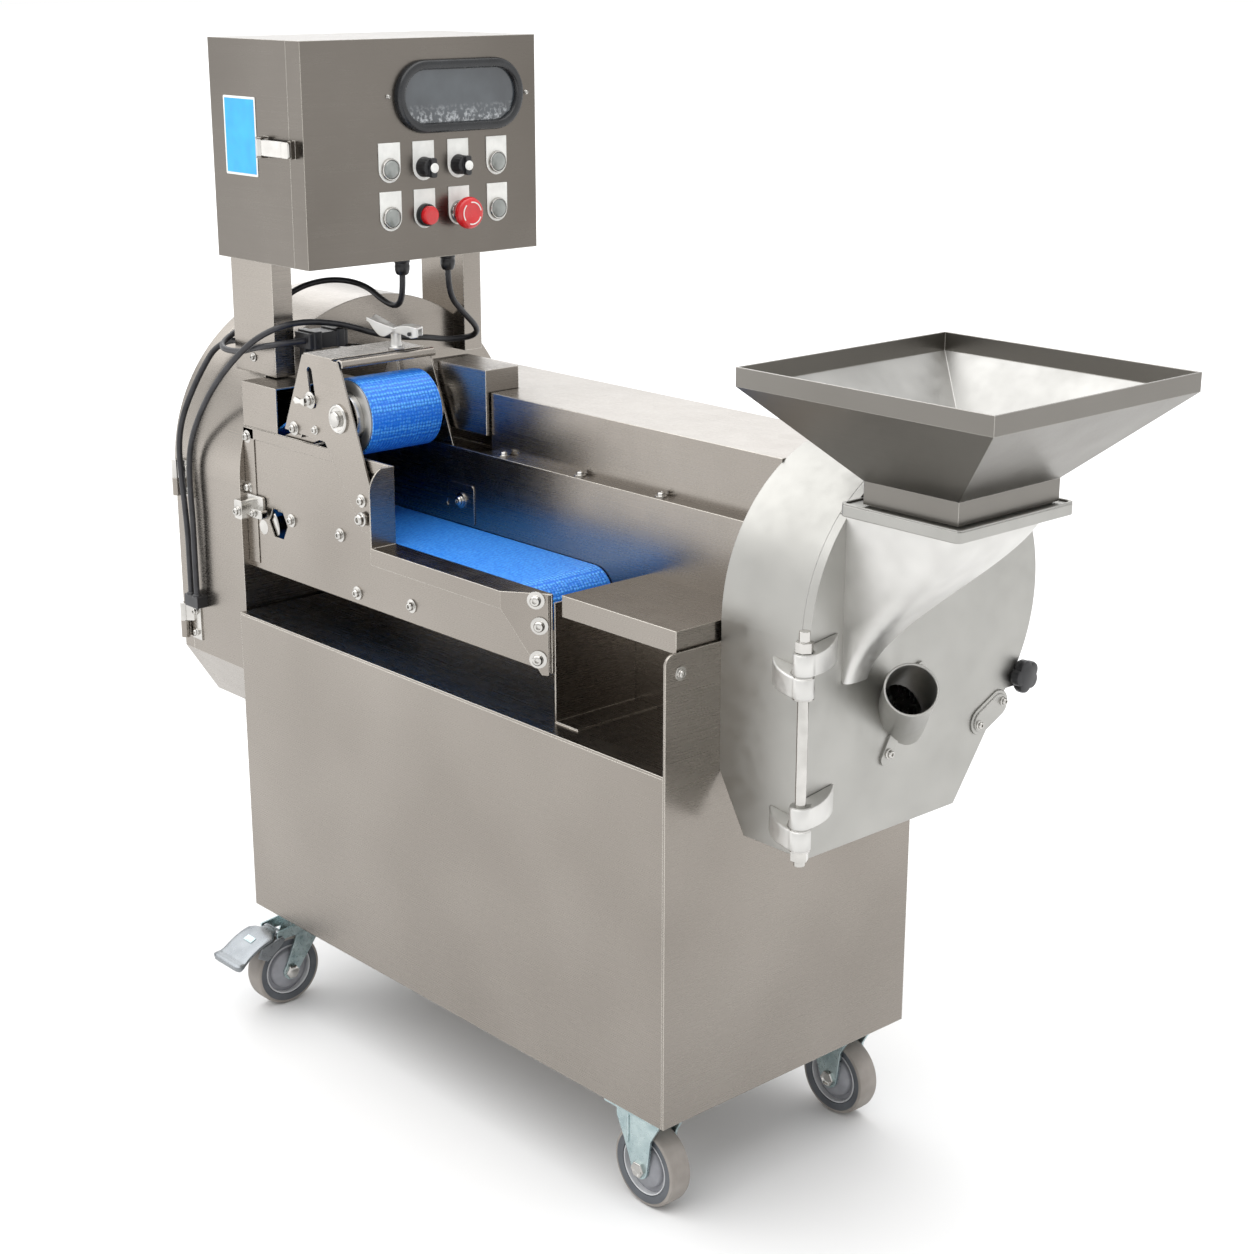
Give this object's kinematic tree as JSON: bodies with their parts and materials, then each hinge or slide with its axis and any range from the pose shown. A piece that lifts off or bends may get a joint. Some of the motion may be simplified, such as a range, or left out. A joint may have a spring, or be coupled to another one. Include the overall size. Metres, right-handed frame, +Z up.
{
  "type": "vegetable cutting machine",
  "caption": "Floor-standing vegetable cutter on castors: a belt feeds a leaf cutting head under a tilting press, and a hopper feeds a disc cutting head.",
  "frame": {"origin": "on the floor, below the middle of the whole machine's bounding box", "axes": "+X from the leaf cutting head to the disc cutting head and hopper, +Y from the operator's side to the back, +Z up"},
  "size_m": [1.3846, 0.56, 1.3],
  "materials": {
    "stainless_sheet": "satin brushed stainless sheet, warm grey",
    "stainless_blasted": "pale bead-blasted stainless",
    "polished_steel": "bright turned steel",
    "knife_steel": "ground knife steel",
    "blue_belt": "vivid blue belt with a fine raised texture",
    "black_rubber": "matt black rubber",
    "black_plastic": "matt black plastic",
    "red_plastic": "glossy red plastic",
    "clear_lens": "clear lamp lens",
    "zinc_plated": "zinc-plated pressed steel, slightly blue",
    "cast_aluminium": "cast aluminium",
    "castor_tyre": "grey-brown rubber tyre on a dark centre",
    "motor_paint": "grey-blue machine paint"
  },
  "bodies": {
    "machine": {"cabinet_shell": "stainless_sheet", "cabinet_back_panel": "stainless_sheet", "cabinet_end_panel": "stainless_sheet", "cabinet_deck": "stainless_sheet", "conveyor_front_plate": "stainless_sheet", "conveyor_back_wall": "stainless_sheet", "belt_bed": "stainless_sheet", "feed_belt": "blue_belt", "front_shelf": "stainless_sheet", "side_table": "stainless_sheet", "rear_covers": "stainless_sheet", "leaf_head_housing": "stainless_sheet", "box_columns": "stainless_sheet", "control_box": "stainless_sheet", "cable_fittings": "black_plastic", "disc_head_housing": "stainless_blasted", "fixed_hinges": "stainless_blasted", "drive_motors": "motor_paint", "drive_belts": "black_rubber", "shaft_bearings": "motor_paint", "castor_mounts": "zinc_plated", "panel_bolts": "polished_steel", "cable_over_head": "black_rubber", "cable_front_inner": "black_rubber", "cable_front_outer": "black_rubber"},
    "feed_drive": {"feed_drive_roller": "polished_steel"},
    "feed_tail": {"feed_tail_roller": "polished_steel"},
    "press": {"press_frame": "stainless_sheet", "press_belt": "blue_belt"},
    "press_drum_body": {"press_drum": "polished_steel"},
    "press_nose_body": {"press_nose_roller": "polished_steel"},
    "wing": {"wing_handle": "cast_aluminium"},
    "knife_rotor": {"knife_shaft": "polished_steel", "leaf_knives": "knife_steel"},
    "knife_drive": {"knife_motor_pulley": "polished_steel"},
    "leaf_door": {"leaf_head_door": "stainless_sheet"},
    "disc_rotor": {"disc_shaft": "polished_steel", "slicing_disc": "knife_steel"},
    "disc_drive": {"disc_motor_pulley": "polished_steel"},
    "disc_door_body": {"disc_door": "stainless_blasted", "disc_scoop": "stainless_blasted", "feed_tube": "stainless_blasted"},
    "hopper_body": {"hopper": "stainless_sheet"},
    "door_clamp": {"star_knob": "black_plastic"},
    "control_door_body": {"control_door": "stainless_sheet", "display_window": "black_rubber", "pilot_lamps": "clear_lens"},
    "knob_left": {"selector_knob_left": "black_plastic"},
    "knob_right": {"selector_knob_right": "black_plastic"},
    "button": {"red_button": "red_plastic"},
    "stop_button": {"emergency_stop": "red_plastic"},
    "latch": {"latch_lever": "polished_steel"},
    "swivel_front": {"castor_fork_front_left": "zinc_plated"},
    "swivel_rear": {"castor_fork_rear_left": "zinc_plated"},
    "pedal_front": {"brake_pedal_front_left": "cast_aluminium"},
    "pedal_rear": {"brake_pedal_rear_left": "cast_aluminium"},
    "wheel_fl": {"wheel_front_left": "castor_tyre"},
    "wheel_rl": {"wheel_rear_left": "castor_tyre"},
    "wheel_fr": {"wheel_front_right": "castor_tyre"},
    "wheel_rr": {"wheel_rear_right": "castor_tyre"}
  },
  "joints": [
    {"name": "feed_drive_spin", "type": "hinge", "parent": "machine", "child": "feed_drive", "pos_m": [-0.49245, -0.108, 0.6772], "axis": [0, 1, 0], "continuous": true},
    {"name": "feed_tail_spin", "type": "hinge", "parent": "machine", "child": "feed_tail", "pos_m": [0.02995, -0.108, 0.6772], "axis": [0, 1, 0], "continuous": true},
    {"name": "press_lift", "type": "hinge", "parent": "machine", "child": "press", "pos_m": [-0.25125, -0.108, 0.735], "axis": [0, 1, 0], "range_deg": [0, 10]},
    {"name": "press_drum_spin", "type": "hinge", "parent": "press", "child": "press_drum_body", "pos_m": [-0.29825, -0.108, 0.853], "axis": [0, 1, 0], "continuous": true},
    {"name": "press_nose_spin", "type": "hinge", "parent": "press", "child": "press_nose_body", "pos_m": [-0.49925, -0.108, 0.77], "axis": [0, 1, 0], "continuous": true},
    {"name": "wing_turn", "type": "hinge", "parent": "press", "child": "wing", "pos_m": [-0.31725, -0.074, 0.926], "axis": [0, 0, 1], "range_deg": [-90, 90]},
    {"name": "knife_spin", "type": "hinge", "parent": "machine", "child": "knife_rotor", "pos_m": [-0.38725, 0.049, 0.728], "axis": [1, 0, 0], "continuous": true},
    {"name": "knife_motor_spin", "type": "hinge", "parent": "machine", "child": "knife_drive", "pos_m": [-0.26225, 0.049, 0.29], "axis": [1, 0, 0], "continuous": true},
    {"name": "leaf_door_swing", "type": "hinge", "parent": "machine", "child": "leaf_door", "pos_m": [-0.67725, -0.19, 0.614], "axis": [0, 0, 1], "range_deg": [0, 110]},
    {"name": "disc_spin", "type": "hinge", "parent": "machine", "child": "disc_rotor", "pos_m": [0.21275, 0.072, 0.72], "axis": [1, 0, 0], "continuous": true},
    {"name": "disc_motor_spin", "type": "hinge", "parent": "machine", "child": "disc_drive", "pos_m": [0.19275, 0.072, 0.29], "axis": [1, 0, 0], "continuous": true},
    {"name": "disc_door_swing", "type": "hinge", "parent": "machine", "child": "disc_door_body", "pos_m": [0.45175, -0.132, 0.612], "axis": [0, 0, 1], "range_deg": [-110, 0]},
    {"name": "hopper_lift", "type": "slide", "parent": "disc_door_body", "child": "hopper_body", "axis": [0, 0, 1], "range_m": [0, 0.12]},
    {"name": "star_knob_turn", "type": "hinge", "parent": "disc_door_body", "child": "door_clamp", "pos_m": [0.44275, 0.23743, 0.612], "axis": [1, 0, 0], "continuous": true},
    {"name": "control_door_swing", "type": "hinge", "parent": "machine", "child": "control_door_body", "pos_m": [-0.42855, 0.2293, 1.161], "axis": [0, 0, 1], "range_deg": [0, 110]},
    {"name": "knob_left_turn", "type": "hinge", "parent": "control_door_body", "child": "knob_left", "pos_m": [-0.39725, 0.036, 1.139], "axis": [1, 0, 0], "range_deg": [-45, 45]},
    {"name": "knob_right_turn", "type": "hinge", "parent": "control_door_body", "child": "knob_right", "pos_m": [-0.39725, 0.092, 1.139], "axis": [1, 0, 0], "range_deg": [-45, 45]},
    {"name": "button_press", "type": "slide", "parent": "control_door_body", "child": "button", "axis": [-1, 0, 0], "range_m": [0, 0.004], "stiffness_N_per_m": 600},
    {"name": "stop_press", "type": "slide", "parent": "control_door_body", "child": "stop_button", "axis": [-1, 0, 0], "range_m": [0, 0.006], "stiffness_N_per_m": 900},
    {"name": "latch_swing", "type": "hinge", "parent": "machine", "child": "latch", "pos_m": [-0.48025, -0.156, 1.169], "axis": [0, 0, 1], "range_deg": [-60, 0]},
    {"name": "swivel_front_turn", "type": "hinge", "parent": "machine", "child": "swivel_front", "pos_m": [-0.47725, -0.148, 0.12], "axis": [0, 0, 1], "continuous": true},
    {"name": "swivel_rear_turn", "type": "hinge", "parent": "machine", "child": "swivel_rear", "pos_m": [-0.47725, 0.162, 0.12], "axis": [0, 0, 1], "continuous": true},
    {"name": "pedal_front_press", "type": "hinge", "parent": "swivel_front", "child": "pedal_front", "pos_m": [-0.47725, -0.199, 0.108], "axis": [1, 0, 0], "range_deg": [0, 12]},
    {"name": "pedal_rear_press", "type": "hinge", "parent": "swivel_rear", "child": "pedal_rear", "pos_m": [-0.47725, 0.111, 0.108], "axis": [1, 0, 0], "range_deg": [0, 12]},
    {"name": "wheel_fl_roll", "type": "hinge", "parent": "swivel_front", "child": "wheel_fl", "pos_m": [-0.47725, -0.185, 0.05], "axis": [1, 0, 0], "continuous": true},
    {"name": "wheel_rl_roll", "type": "hinge", "parent": "swivel_rear", "child": "wheel_rl", "pos_m": [-0.47725, 0.125, 0.05], "axis": [1, 0, 0], "continuous": true},
    {"name": "wheel_fr_roll", "type": "hinge", "parent": "machine", "child": "wheel_fr", "pos_m": [0.25075, -0.154, 0.05], "axis": [0, 1, 0], "continuous": true},
    {"name": "wheel_rr_roll", "type": "hinge", "parent": "machine", "child": "wheel_rr", "pos_m": [0.25075, 0.168, 0.05], "axis": [0, 1, 0], "continuous": true}
  ],
  "couplings": [
    {"joint": "feed_drive_spin", "follows": "press_drum_spin", "ratio": -1.5167},
    {"joint": "feed_tail_spin", "follows": "press_drum_spin", "ratio": -1.5167},
    {"joint": "press_nose_spin", "follows": "press_drum_spin", "ratio": 2.8438},
    {"joint": "knife_motor_spin", "follows": "knife_spin", "ratio": 1.5789},
    {"joint": "disc_motor_spin", "follows": "disc_spin", "ratio": 1.3158}
  ]
}
